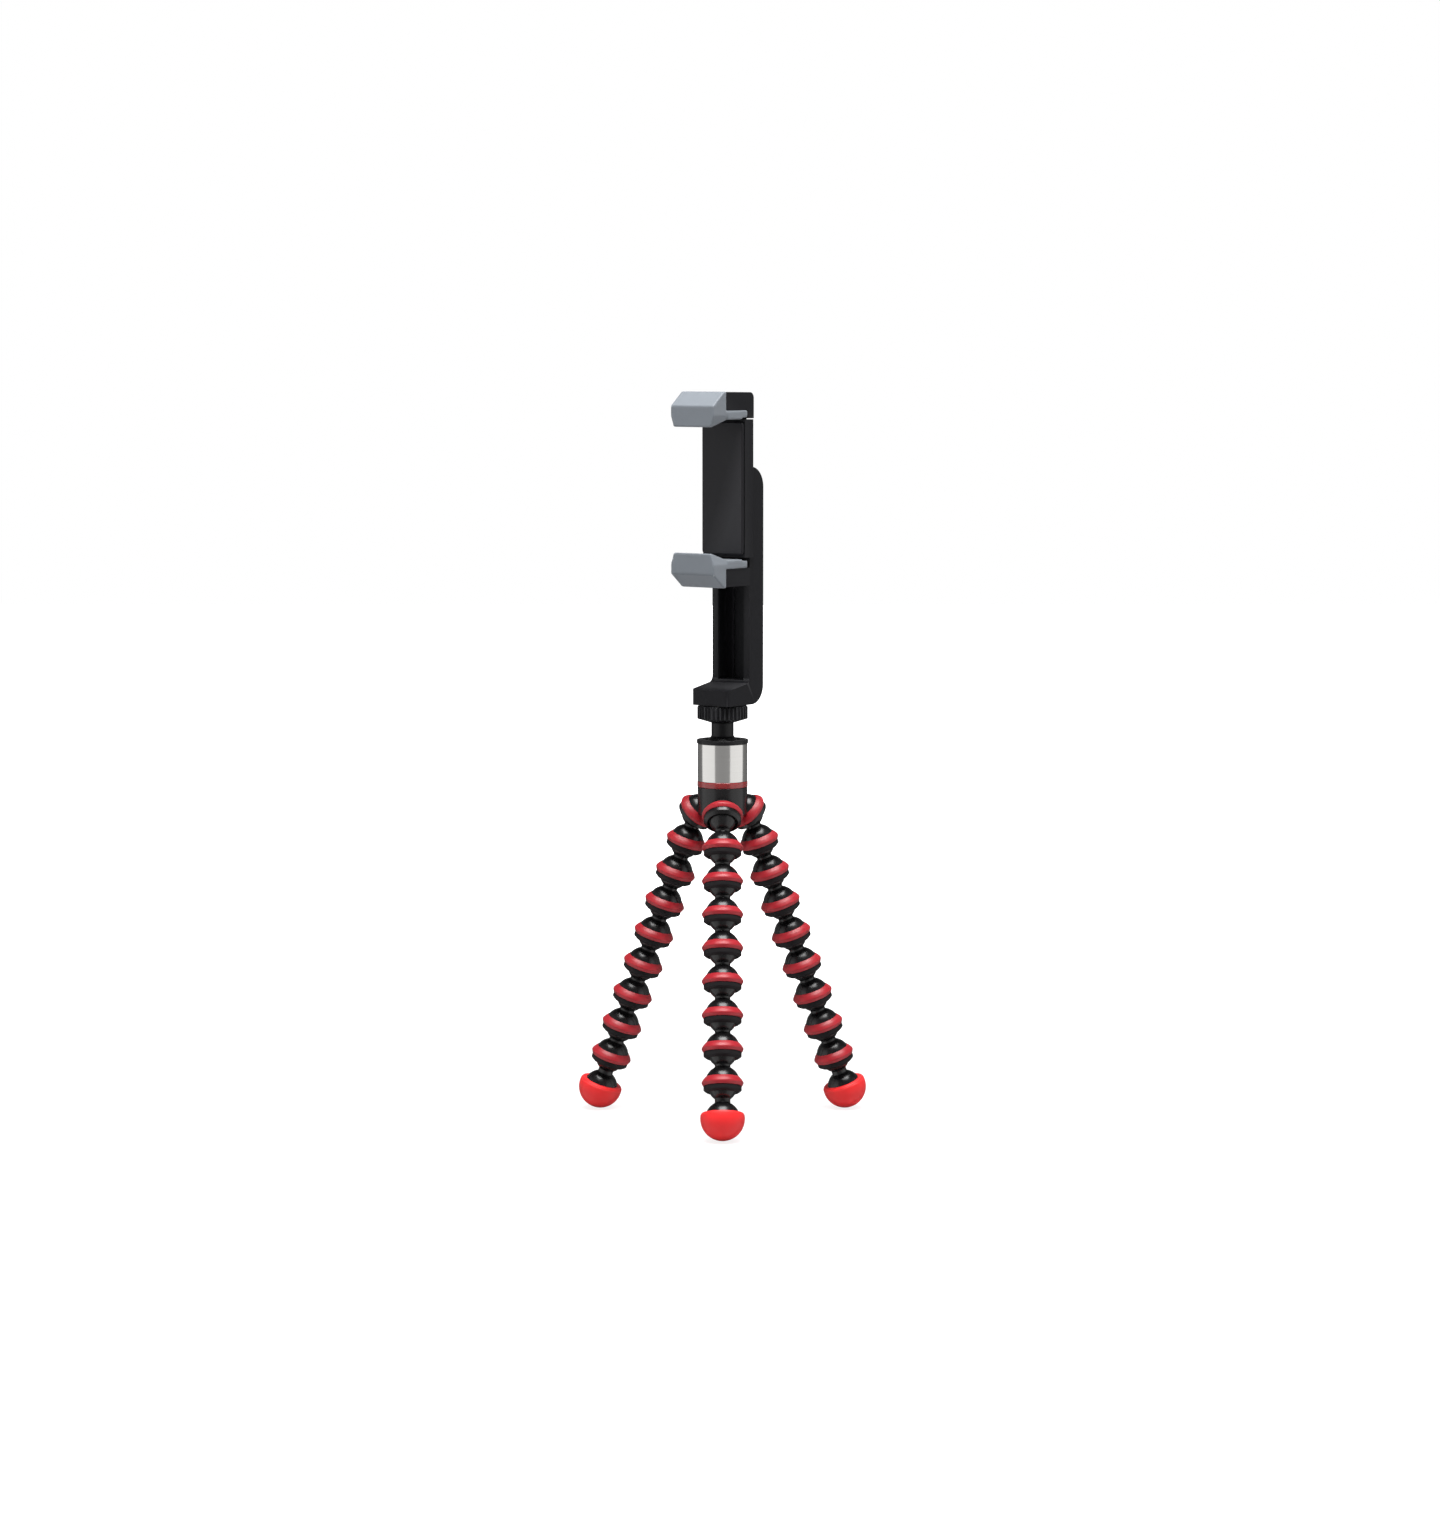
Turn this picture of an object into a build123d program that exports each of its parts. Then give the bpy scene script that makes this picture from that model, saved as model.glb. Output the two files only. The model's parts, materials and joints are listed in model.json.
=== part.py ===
from build123d import *
from math import asin, cos, degrees, radians, sin, sqrt, tan
import os

# Flexible leg tripod with phone clamp, in millimetres.
# The origin is on the floor, in the middle of the box round the whole part; +Z is up and
# the front leg points to -Y.

# Leg chain, one ball-and-socket link after another
link_count = 8
link_pitch = 12.5
ball_r = 5.25
joint_gap = 0.05
ball_drop = 1.5  # the ball sits this far below the ring plane of the socket that holds it
neck_r = 2.85
dome_r = 6.35
groove_r = 6.05
groove_drop = 1.2
skirt_r = 6.95
skirt_drop = 2.8
mouth_r = 5.75
mouth_drop = 3.7
mouth_edge_r = 5.04
ring_r = 7.75
ring_top_r = 6.15
ring_top_rise = 2.2
ring_top_lean = 28.0  # degrees
ring_bottom_lean = 12.0  # degrees
ring_bottom_r = 7.15

# Pose of the legs, angles in degrees
socket_tilt = 45.0
leg_tilt = 19.8
front_azimuth = -90.0
side_socket_azimuth = 30.0
side_leg_azimuth = 16.8

# Feet
foot_r = 8.12
foot_reach = 11.57  # from the last ball to the middle of the foot
foot_rim_rise = 2.1

# Hub
hub_r = 9.25
socket_reach = 10.43  # from the hub's axis to the middle of a socket's ring
hub_bottom_drop = 0.9
shoulder_rise = 9.65
accent_r = 9.35
accent_height = 2.2
band_height = 14.0
housing_r = 8.15
housing_bore_r = 7.45
collar_r = 9.55
collar_height = 1.5
collar_sleeve_drop = 3.7
slide_fit = 0.05

# Head
head_ball_r = 6.6
head_ball_drop = 3.9  # below the top of the collar
stem_r = 4.15
stem_rise = 6.3  # above the top of the collar
head_tilt_limit = 25.0
stem_gap = 0.3
seat_top_drop = 2.1  # below the middle of the ball
seat_floor = 1.5
spring_washer_bore_r = 4.0
spring_washer_thickness = 0.8
spring_washer_height = 2.85
stud_r = 3.175
stud_shank_r = 2.0
stud_shank_length = 6.8
stud_chamfer = 0.5
lock_r = 9.37
lock_foot_r = 4.75
lock_bevel = 1.4
lock_height = 6.2
lock_edge = 0.5
lock_flute_r = 0.5
lock_flute_depth = 0.5
lock_flute_count = 36

# Clamp, in its own frame: X across, -Y to the front, Z up; the frame turns with the clamp
clamp_turn = 37.0
moving_gap = 0.3
arm_half_width = 8.6
foot_front = 8.0
foot_top_wall = 0.4
foot_slope_rise = 2.3
foot_corner_r = 1.8
arm_front = 5.2
arm_back = 13.7
arm_height = 87.9
arm_bend_r = 7.0
arm_top_r = 7.6
arm_fillet_r = 2.5
arm_wall = 1.3
arm_back_wall = 1.5
lip_width = 1.4
lip_thickness = 1.0
channel_floor_step = 0.9
channel_top_wall = 6.3
rib_place = 3.8
rib_width = 0.9
rib_depth = 0.8
insert_r = 4.75
insert_height = 5.0
insert_recess = 0.2
insert_top_gap = 0.2

# Grip of the clamp
upper_seat_rise = 17.5  # above the top of the arm
grip_closed = 51.3
jaw_stop_gap = 2.25  # left under the lower jaw when it is fully down
body_half_width = 9.67
body_front = 0.9
body_back = 6.8
body_wall = 1.0
body_side_wall = 1.3
body_corner_r = 1.2
body_bottom_gap = 0.5
body_top_gap = 0.1
parting_gap = 0.4
plate_thickness = 1.2
plate_half_width = 9.4
plate_margin = 0.9
plate_corner_r = 1.5
jaw_half_width = 9.3
jaw_front = 10.6
jaw_back = 4.3
jaw_block_height = 6.6
jaw_corner_r = 2.2
jaw_edge_r = 0.8
pad_half_width = 9.85
pad_strip = 3.25
pad_front = 18.6
pad_lip_reach = 2.7
pad_lip_face = 7.8
pad_facet_rise = 5.1
pad_facet_run = 6.6
pad_tip_run = 1.0
pad_tip_half_width = 8.5
pad_tip_corner = 4.2
pad_throat = 9.6
pad_back = 2.8
pad_back_step = 0.6  # clearance of the strip under the clamp's body
pad_back_corner_r = 1.2
tongue_thickness = 1.7
tongue_top_gap = 6.35
tongue_half_width = 7.0
bridge_half_width = 5.6
stem_half_width = 7.0
stem_depth = 2.4
stem_drop = 14.0
stem_clearance = 0.1

# Springs, pins and screws of the clamp
spring_place = 1.7
spring_outer_r = 1.3
spring_inner_r = 0.8
spring_back_gap = 0.65
pin_r = 1.0
anchor_pin_drop = 2.5  # below the top of the channel
pin_pocket_depth = 0.7
jaw_pin_rise = 2.6  # above the bottom of the lower jaw
lug_width = 1.6
lug_inner = 5.2
lug_back_gap = 0.6
lug_height = 5.0
screw_r = 1.0
screw_head_r = 1.9
screw_head_height = 1.2
screw_tip_gap = 0.6
head_recess = 2.1
arm_screw_place = 5.2
arm_screw_drop = 3.1  # below the top of the arm
boss_r = 2.3
jaw_screw_place = 4.5
jaw_screw_drop = 7.7  # below the top of the body

overrun = 1.0

os.makedirs("parts", exist_ok=True)


# Directions, places and plain shapes

def direction(azimuth, tilt):
    # A downward direction, tilted from the vertical towards an azimuth.
    a, t = radians(azimuth), radians(tilt)
    return Vector(cos(a) * sin(t), sin(a) * sin(t), -cos(t))


legs = {
    "front": (front_azimuth, front_azimuth),
    "right": (side_socket_azimuth, side_leg_azimuth),
    "left": (180 - side_socket_azimuth, 180 - side_leg_azimuth),
}
leg_length = link_count * link_pitch + foot_reach
first_ball_z = foot_r + leg_length * cos(radians(leg_tilt))
ring_z = first_ball_z + ball_drop * cos(radians(socket_tilt))


def ball_place(leg, number, hub_y=0.0):
    # The middle of ball 1 to link_count + 1 of a leg; ball 1 sits in the hub.
    socket_azimuth, leg_azimuth = legs[leg]
    a = radians(socket_azimuth)
    ring = Vector(socket_reach * cos(a), socket_reach * sin(a) + hub_y, ring_z)
    first = ring + direction(socket_azimuth, socket_tilt) * ball_drop
    return first + direction(leg_azimuth, leg_tilt) * link_pitch * (number - 1)


def foot_y(leg):
    last = ball_place(leg, link_count + 1)
    return last.Y + direction(legs[leg][1], leg_tilt).Y * foot_reach


# The feet bound the whole part, so they set where the hub's axis lies behind the origin.
hub_y = -(foot_y("front") + foot_y("right")) / 2


def lathe(*edges):
    # A solid of revolution about Z; the edges close an outline in the X-Z plane.
    return revolve(Plane.XZ * make_face(list(edges)), Axis.Z)


def ball_arc(centre, radius, low, high):
    # The stretch between two heights of a circle whose middle is on the axis.
    start = degrees(asin(round((low - centre) / radius, 9)))
    end = degrees(asin(round((high - centre) / radius, 9)))
    return CenterArc((0, centre), radius, start, end - start)


def sleeve(outer, inner, low, high):
    return lathe(Polyline((inner, low), (outer, low), (outer, high), (inner, high), close=True))


def block(half_width, front, back, low, high):
    box = Box(2 * half_width, back - front, high - low)
    return Pos(0, (front + back) / 2, (low + high) / 2) * box


def slab(half_width, *edges):
    # An outline in the Y-Z plane, as thick to both sides of X.
    return extrude(Plane.YZ * make_face(list(edges)), amount=half_width, both=True)


def rod_along_x(radius, half_length, y, z):
    return Pos(0, y, z) * Rot(0, 90, 0) * Cylinder(radius, 2 * half_length)


def rod_along_y(radius, front, back, x, z):
    return Pos(x, (front + back) / 2, z) * Rot(90, 0, 0) * Cylinder(radius, back - front)


def mirrored(shape):
    # A shape and its mirror image across the clamp's middle, still two solids.
    return Compound([shape, mirror(shape, Plane.YZ)])


# Legs

socket_r = ball_r + joint_gap
mouth_z = -ball_drop - sqrt(socket_r**2 - mouth_edge_r**2)
groove_top = sqrt(dome_r**2 - groove_r**2)


def shell_lines():
    # Outer side of a socket from its groove to the edge of its mouth.
    return Polyline(
        (groove_r, groove_top),
        (groove_r, -groove_drop),
        (skirt_r, -groove_drop),
        (skirt_r, -skirt_drop),
        (mouth_r, -mouth_drop),
        (mouth_edge_r, mouth_z),
    )


def link():
    # Middle of its own ring at the origin, ball upwards.
    ball_z = link_pitch - ball_drop
    neck_top = ball_z - sqrt(ball_r**2 - neck_r**2)
    neck_bottom = sqrt(dome_r**2 - neck_r**2)
    return lathe(
        ball_arc(ball_z, ball_r, neck_top, ball_z + ball_r),
        Line((neck_r, neck_top), (neck_r, neck_bottom)),
        ball_arc(0, dome_r, groove_top, neck_bottom),
        shell_lines(),
        ball_arc(-ball_drop, socket_r, mouth_z, socket_r - ball_drop),
        Line((0, socket_r - ball_drop), (0, ball_z + ball_r)),
    )


def grip_ring():
    return lathe(
        Polyline((ring_bottom_r, -groove_drop), (groove_r, -groove_drop), (groove_r, ring_top_rise)),
        Line((groove_r, ring_top_rise), (ring_top_r, ring_top_rise)),
        TangentArc((ring_r, 0), (ring_top_r, ring_top_rise), tangent=(-tan(radians(ring_top_lean)), 1)),
        TangentArc(
            (ring_r, 0), (ring_bottom_r, -groove_drop), tangent=(-tan(radians(ring_bottom_lean)), -1)
        ),
    )


def foot_core():
    # Middle of the foot at the origin, ball upwards.
    neck_top = foot_reach - sqrt(ball_r**2 - neck_r**2)
    neck_bottom = sqrt(dome_r**2 - neck_r**2)
    return lathe(
        ball_arc(foot_reach, ball_r, neck_top, foot_reach + ball_r),
        Line((neck_r, neck_top), (neck_r, neck_bottom)),
        ball_arc(0, dome_r, -dome_r, neck_bottom),
        Line((0, -dome_r), (0, foot_reach + ball_r)),
    )


def foot_cap():
    inner_rim_r = sqrt(dome_r**2 - foot_rim_rise**2)
    outer_rim_r = sqrt(foot_r**2 - foot_rim_rise**2)
    return lathe(
        ball_arc(0, dome_r, -dome_r, foot_rim_rise),
        Line((inner_rim_r, foot_rim_rise), (outer_rim_r, foot_rim_rise)),
        ball_arc(0, foot_r, -foot_r, foot_rim_rise),
        Line((0, -foot_r), (0, -dome_r)),
    )


def along_leg(shape, leg, number, reach):
    # Stands a shape on ball `number` of a leg, `reach` down the leg from its middle.
    down = direction(legs[leg][1], leg_tilt)
    origin = ball_place(leg, number, hub_y) + down * reach
    across = Vector(0, 0, 1).cross(down)
    return Plane(origin=origin, x_dir=across, z_dir=-down).location * shape


def at_socket(shape, leg):
    # Puts a shape on the hub's socket for a leg.
    down = direction(legs[leg][0], socket_tilt)
    origin = ball_place(leg, 1, hub_y) - down * ball_drop
    across = Vector(0, 0, 1).cross(down)
    return Plane(origin=origin, x_dir=across, z_dir=-down).location * shape


# Hub

shoulder_z = ring_z + shoulder_rise
band_z = shoulder_z + accent_height
collar_z = band_z + band_height
collar_top = collar_z + collar_height
head_z = collar_top - head_ball_drop
socket_ball_r = head_ball_r + slide_fit
seat_bottom_z = head_z - head_ball_r - seat_floor
bore_floor_z = seat_bottom_z - slide_fit - spring_washer_height


def on_axis(shape):
    return Pos(0, hub_y, 0) * shape


def hub_body():
    core = on_axis(sleeve(hub_r, 0, ring_z - hub_bottom_drop, shoulder_z))
    ring_room = sleeve(
        ring_r + moving_gap, 0, -mouth_drop, ring_top_rise + moving_gap
    )
    socket = lathe(
        ball_arc(0, dome_r, groove_top, dome_r),
        shell_lines(),
        Polyline((mouth_edge_r, mouth_z), (0, mouth_z), (0, dome_r)),
    )
    cavity = lathe(
        ball_arc(-ball_drop, socket_r, mouth_z, socket_r - ball_drop),
        Polyline(
            (mouth_edge_r, mouth_z),
            (mouth_r, -mouth_drop),
            (mouth_r, -mouth_drop - overrun),
            (0, -mouth_drop - overrun),
            (0, socket_r - ball_drop),
        ),
    )
    for leg in legs:
        core -= at_socket(ring_room, leg)
    for leg in legs:
        core += at_socket(socket, leg)
    core += on_axis(sleeve(housing_r, 0, shoulder_z, collar_z))
    core -= on_axis(sleeve(housing_bore_r, 0, bore_floor_z, collar_z + overrun))
    for leg in legs:
        core -= at_socket(cavity, leg)
    return core


def retaining_cap():
    # Its countersink leans as far as the stem tilts; the lip is where that cone meets the ball's seat.
    slope = tan(radians(head_tilt_limit))
    mouth = (stem_r + stem_gap) / cos(radians(head_tilt_limit))
    a, b, c = 1 + slope**2, slope * mouth, mouth**2 - socket_ball_r**2
    lip_rise = (-b + sqrt(b**2 - a * c)) / a
    lip_r = lip_rise * slope + mouth
    top_r = head_ball_drop * slope + mouth
    sleeve_bottom = collar_z - collar_sleeve_drop
    sleeve_r = housing_bore_r - slide_fit
    return on_axis(
        lathe(
            ball_arc(head_z, socket_ball_r, head_z, head_z + lip_rise),
            Polyline(
                (lip_r, head_z + lip_rise),
                (top_r, collar_top),
                (collar_r, collar_top),
                (collar_r, collar_z),
                (sleeve_r, collar_z),
                (sleeve_r, sleeve_bottom),
                (socket_ball_r, sleeve_bottom),
                (socket_ball_r, head_z),
            ),
        )
    )


def ball_seat():
    seat_top = head_z - seat_top_drop
    rim_r = sqrt(socket_ball_r**2 - seat_top_drop**2)
    seat_r = housing_bore_r - slide_fit
    return on_axis(
        lathe(
            ball_arc(head_z, socket_ball_r, head_z - socket_ball_r, seat_top),
            Polyline(
                (rim_r, seat_top),
                (seat_r, seat_top),
                (seat_r, seat_bottom_z),
                (0, seat_bottom_z),
                (0, head_z - socket_ball_r),
            ),
        )
    )


def spring_washer():
    outer = housing_bore_r - slide_fit
    top = seat_bottom_z - slide_fit
    return on_axis(
        lathe(
            Polyline(
                (outer, bore_floor_z),
                (outer, bore_floor_z + spring_washer_thickness),
                (spring_washer_bore_r, top),
                (spring_washer_bore_r, top - spring_washer_thickness),
                close=True,
            )
        )
    )


# Head

stem_top = collar_top + stem_rise
lock_z = stem_top + slide_fit
lock_top = lock_z + lock_height
bracket_z = lock_top + moving_gap
insert_z = bracket_z + insert_recess
insert_top = insert_z + insert_height
stud_top = insert_top - slide_fit


def head_ball():
    stem_root = head_z + sqrt(head_ball_r**2 - stem_r**2)
    body = lathe(
        ball_arc(head_z, head_ball_r, head_z - head_ball_r, stem_root),
        Polyline((stem_r, stem_root), (stem_r, stem_top), (0, stem_top), (0, head_z - head_ball_r)),
    )
    body -= sleeve(stud_shank_r, 0, stem_top - stud_shank_length, stem_top + overrun)
    return on_axis(body)


def camera_stud():
    return on_axis(
        lathe(
            Polyline(
                (0, stem_top - stud_shank_length),
                (stud_shank_r, stem_top - stud_shank_length),
                (stud_shank_r, stem_top),
                (stud_r, stem_top),
                (stud_r, stud_top - stud_chamfer),
                (stud_r - stud_chamfer, stud_top),
                (0, stud_top),
                close=True,
            )
        )
    )


def lock_ring():
    bore = stud_r + slide_fit
    ring = lathe(
        Polyline(
            (bore, lock_z),
            (lock_foot_r, lock_z),
            (lock_r, lock_z + lock_bevel),
            (lock_r, lock_top - lock_edge),
            (lock_r - lock_edge, lock_top),
            (bore, lock_top),
            close=True,
        )
    )
    flute = Pos(0, 0, (lock_z + lock_top) / 2) * Cylinder(lock_flute_r, lock_height + overrun)
    flute_place = lock_r + lock_flute_r - lock_flute_depth
    ring -= [place * flute for place in PolarLocations(flute_place, lock_flute_count)]
    return on_axis(ring)


# Clamp

foot_front_height = insert_top + insert_top_gap + foot_top_wall - bracket_z
foot_back_height = foot_front_height + foot_slope_rise
channel_floor_rise = foot_back_height + channel_floor_step
arm_top = bracket_z + arm_height
channel_z = bracket_z + channel_floor_rise
channel_top = arm_top - channel_top_wall
channel_back = arm_back - arm_back_wall
channel_half_width = arm_half_width - arm_wall
lip_back = arm_front + lip_thickness
upper_seat_z = arm_top + upper_seat_rise
lower_seat_z = upper_seat_z - grip_closed
body_z = lower_seat_z + body_bottom_gap
body_top = upper_seat_z - body_top_gap
plate_front = body_front - plate_thickness
anchor_pin_z = channel_top - anchor_pin_drop
spring_y = channel_back - spring_back_gap - spring_outer_r
lower_block_top = lower_seat_z - pad_strip
lower_block_bottom = lower_block_top - jaw_block_height
jaw_travel = lower_block_bottom - channel_z - jaw_stop_gap
tongue_top = channel_top - tongue_top_gap
jaw_pin_z = lower_block_bottom + jaw_pin_rise
arm_screw_z = arm_top - arm_screw_drop
jaw_screw_z = body_top - jaw_screw_drop
slot_half_width = channel_half_width - lip_width
skirt_inner = arm_half_width + slide_fit
body_rear_front = body_back - body_side_wall
arm_head_seat = arm_back - arm_back_wall - screw_head_height - head_recess


def on_clamp(shape):
    return Pos(0, hub_y, 0) * Rot(0, 0, -clamp_turn) * shape


def arm_screw_hole(radius):
    return mirrored(rod_along_y(radius, 0, arm_back, arm_screw_place, arm_screw_z))


def bracket():
    outline = FilletPolyline(
        (-foot_front, bracket_z),
        (arm_back, bracket_z),
        (arm_back, arm_top),
        (arm_front, arm_top),
        (arm_front, bracket_z + foot_back_height),
        (-foot_front, bracket_z + foot_front_height),
        radius=[0, arm_bend_r, arm_top_r, 0, arm_fillet_r, 0],
        close=True,
    )
    body = slab(arm_half_width, outline)
    body = fillet(body.edges().filter_by(Axis.Z).group_by(Axis.Y)[0], foot_corner_r)
    body -= block(channel_half_width, lip_back, channel_back, channel_z, channel_top)
    body -= block(slot_half_width, arm_front - arm_fillet_r - overrun, lip_back, channel_z, channel_top)
    rib = Pos(rib_place, 0, 0) * block(
        rib_width / 2,
        channel_back - rib_depth,
        channel_back,
        channel_z,
        anchor_pin_z - pin_r - moving_gap,
    )
    body += mirrored(rib)
    body -= sleeve(insert_r, 0, bracket_z - overrun, insert_top + insert_top_gap)
    body -= rod_along_x(pin_r, channel_half_width + pin_pocket_depth, spring_y, anchor_pin_z)
    body -= arm_screw_hole(screw_r)
    head_room = rod_along_y(
        screw_head_r + slide_fit, arm_head_seat, arm_back + overrun, arm_screw_place, arm_screw_z
    )
    body -= mirrored(head_room)
    return on_clamp(body)


def thread_insert():
    return on_clamp(sleeve(insert_r, stud_r + slide_fit, insert_z, insert_top))


def clamp_body():
    body = block(body_half_width, body_front, body_back, body_z, body_top)
    body = fillet(body.edges().filter_by(Axis.Z).group_by(Axis.Y)[-1], body_corner_r)
    hollow_half_width = body_half_width - body_side_wall
    hollow_front = body_front + body_wall
    body -= block(
        skirt_inner, arm_front - slide_fit, body_back + overrun, body_z - overrun, arm_top + slide_fit
    )
    body -= block(
        hollow_half_width, hollow_front, body_rear_front, body_z + body_wall, body_top - body_wall
    )
    body -= block(
        stem_half_width + stem_clearance,
        body_rear_front - stem_depth - stem_clearance,
        body_rear_front,
        body_top - body_wall - overrun,
        body_top + overrun,
    )
    boss = rod_along_y(boss_r, hollow_front, arm_front - slide_fit, arm_screw_place, arm_screw_z)
    body += mirrored(boss)
    pilot = rod_along_y(screw_r, hollow_front, arm_front, arm_screw_place, arm_screw_z)
    body -= mirrored(pilot)
    shaft = rod_along_y(screw_r, body_rear_front - overrun, body_back, jaw_screw_place, jaw_screw_z)
    body -= mirrored(shaft)
    head_room = rod_along_y(
        screw_head_r + slide_fit,
        body_back - screw_head_height / 2,
        body_back + overrun,
        jaw_screw_place,
        jaw_screw_z,
    )
    body -= mirrored(head_room)
    return on_clamp(body)


def front_plate():
    plate = block(
        plate_half_width, plate_front, body_front, body_z + plate_margin, body_top - plate_margin
    )
    plate = fillet(plate.edges().filter_by(Axis.Y), plate_corner_r)
    return on_clamp(plate)


def jaw_pad(seat, away):
    # Seat strip and hooked lip of a jaw; `away` is +1 where the jaw lies above its seat, -1 below.
    tip = seat - away * pad_lip_reach
    edge = tip + away * pad_lip_face
    crest = edge + away * pad_facet_rise
    strip = seat + away * pad_strip
    back_seat = seat + away * pad_back_step
    pad = slab(
        pad_half_width,
        Polyline(
            (-pad_front, tip),
            (-pad_front, edge),
            (-pad_front + pad_facet_run, crest),
            (-jaw_front, crest),
            (-jaw_front, strip),
            (pad_back, strip),
            (pad_back, back_seat),
            (plate_front - parting_gap, back_seat),
            (plate_front - parting_gap, seat),
            (-pad_throat, seat),
            (-pad_front + pad_tip_run, tip),
            close=True,
        ),
    )
    pad = fillet(pad.edges().filter_by(Axis.Z).group_by(Axis.Y)[-1], pad_back_corner_r)
    corner = extrude(
        Plane.XZ
        * make_face(
            Polyline(
                (pad_tip_half_width, tip),
                (pad_half_width, tip + away * pad_tip_corner),
                (pad_half_width + overrun, tip + away * pad_tip_corner),
                (pad_half_width + overrun, tip - away * overrun),
                (pad_tip_half_width, tip - away * overrun),
                close=True,
            )
        ),
        amount=pad_front + overrun,
    )
    corner -= block(
        pad_half_width + 2 * overrun,
        -pad_throat,
        overrun,
        min(tip, edge) - 2 * overrun,
        max(tip, edge) + 2 * overrun,
    )
    return on_clamp(pad - mirrored(corner))


def upper_jaw():
    bottom = upper_seat_z + pad_strip
    top = bottom + jaw_block_height
    outline = FilletPolyline(
        (-jaw_front, bottom),
        (-jaw_front, top),
        (body_back, top),
        (body_back, body_top + parting_gap),
        (pad_back + parting_gap, body_top + parting_gap),
        (pad_back + parting_gap, bottom),
        radius=[0, jaw_edge_r, jaw_corner_r, 0, 0, 0],
        close=True,
    )
    jaw = slab(jaw_half_width, outline)
    jaw += block(
        stem_half_width,
        body_rear_front - stem_depth,
        body_rear_front - stem_clearance,
        body_top - stem_drop,
        bottom,
    )
    jaw -= mirrored(
        rod_along_y(screw_r, body_rear_front - stem_depth - overrun, body_back, jaw_screw_place, jaw_screw_z)
    )
    return on_clamp(jaw)


def lower_jaw():
    # A block on a T-shaped tongue that runs behind the channel's lips.
    tongue_front = lip_back + moving_gap
    tongue_back = tongue_front + tongue_thickness
    outline = FilletPolyline(
        (-jaw_front, lower_block_bottom),
        (jaw_back, lower_block_bottom),
        (jaw_back, lower_block_top),
        (-jaw_front, lower_block_top),
        radius=[jaw_edge_r, 0, 0, 0],
        close=True,
    )
    jaw = slab(jaw_half_width, outline)
    jaw += block(bridge_half_width, jaw_back, tongue_front, lower_block_bottom, lower_block_top)
    jaw += block(tongue_half_width, tongue_front, tongue_back, lower_block_bottom, tongue_top)
    lug = Pos(lug_inner + lug_width / 2, 0, 0) * block(
        lug_width / 2,
        tongue_back,
        channel_back - lug_back_gap,
        lower_block_bottom,
        lower_block_bottom + lug_height,
    )
    jaw += mirrored(lug)
    jaw -= rod_along_x(pin_r, lug_inner + lug_width, spring_y, jaw_pin_z)
    return on_clamp(jaw)


def jaw_springs():
    low = jaw_pin_z + pin_r + slide_fit
    high = anchor_pin_z - pin_r - slide_fit
    spring = Pos(spring_place, spring_y, 0) * sleeve(spring_outer_r, spring_inner_r, low, high)
    return on_clamp(mirrored(spring))


def spring_anchor_pin():
    half_length = channel_half_width + pin_pocket_depth
    return on_clamp(rod_along_x(pin_r, half_length, spring_y, anchor_pin_z))


def jaw_spring_pin():
    return on_clamp(rod_along_x(pin_r, lug_inner + lug_width, spring_y, jaw_pin_z))


def screws(x, z, tip, under_head, head_height):
    # A pair of screws from behind, tip first.
    shank = rod_along_y(screw_r, tip, under_head, x, z)
    head = rod_along_y(screw_head_r, under_head, under_head + head_height, x, z)
    return on_clamp(mirrored(shank + head))


def arm_screws():
    tip = body_front + body_wall + screw_tip_gap
    return screws(arm_screw_place, arm_screw_z, tip, arm_head_seat, screw_head_height)


def upper_jaw_screws():
    seat = body_back - screw_head_height / 2
    return screws(
        jaw_screw_place, jaw_screw_z, body_rear_front - stem_depth, seat, screw_head_height / 2
    )


# Every sub-part, by the name of its node

nodes = {}
for leg in legs:
    for number in range(1, link_count + 1):
        pieces = Compound([link(), grip_ring()])
        placed = along_leg(pieces, leg, number, link_pitch - ball_drop)
        nodes[f"{leg}_leg_link_{number}"] = placed
    nodes[f"{leg}_foot_core"] = along_leg(foot_core(), leg, link_count + 1, foot_reach)
    nodes[f"{leg}_foot_cap"] = along_leg(foot_cap(), leg, link_count + 1, foot_reach)

nodes["hub_body"] = hub_body()
nodes["hub_socket_rings"] = Compound([at_socket(grip_ring(), leg) for leg in legs])
nodes["accent_ring"] = on_axis(sleeve(accent_r, housing_r + slide_fit, shoulder_z, band_z))
nodes["steel_band"] = on_axis(sleeve(hub_r, housing_r + slide_fit, band_z, collar_z))
nodes["ball_retaining_cap"] = retaining_cap()
nodes["ball_seat"] = ball_seat()
nodes["spring_washer"] = spring_washer()
nodes["head_ball"] = head_ball()
nodes["camera_stud"] = camera_stud()
nodes["lock_ring"] = lock_ring()
nodes["bracket"] = bracket()
nodes["thread_insert"] = thread_insert()
nodes["clamp_body"] = clamp_body()
nodes["front_plate"] = front_plate()
nodes["upper_jaw"] = upper_jaw()
nodes["upper_jaw_pad"] = jaw_pad(upper_seat_z, 1)
nodes["lower_jaw"] = lower_jaw()
nodes["lower_jaw_pad"] = jaw_pad(lower_seat_z, -1)
nodes["jaw_springs"] = jaw_springs()
nodes["spring_anchor_pin"] = spring_anchor_pin()
nodes["jaw_spring_pin"] = jaw_spring_pin()
nodes["arm_screws"] = arm_screws()
nodes["upper_jaw_screws"] = upper_jaw_screws()

for name, shape in nodes.items():
    export_step(shape, f"parts/{name}.step")
print(len(nodes), "nodes; hub axis at y", round(hub_y, 3), "ring plane at z", round(ring_z, 3))
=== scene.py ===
# Looks, light and camera for the flexible leg tripod with a phone clamp
import json
import math
import bpy
from mathutils import Matrix, Vector

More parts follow.
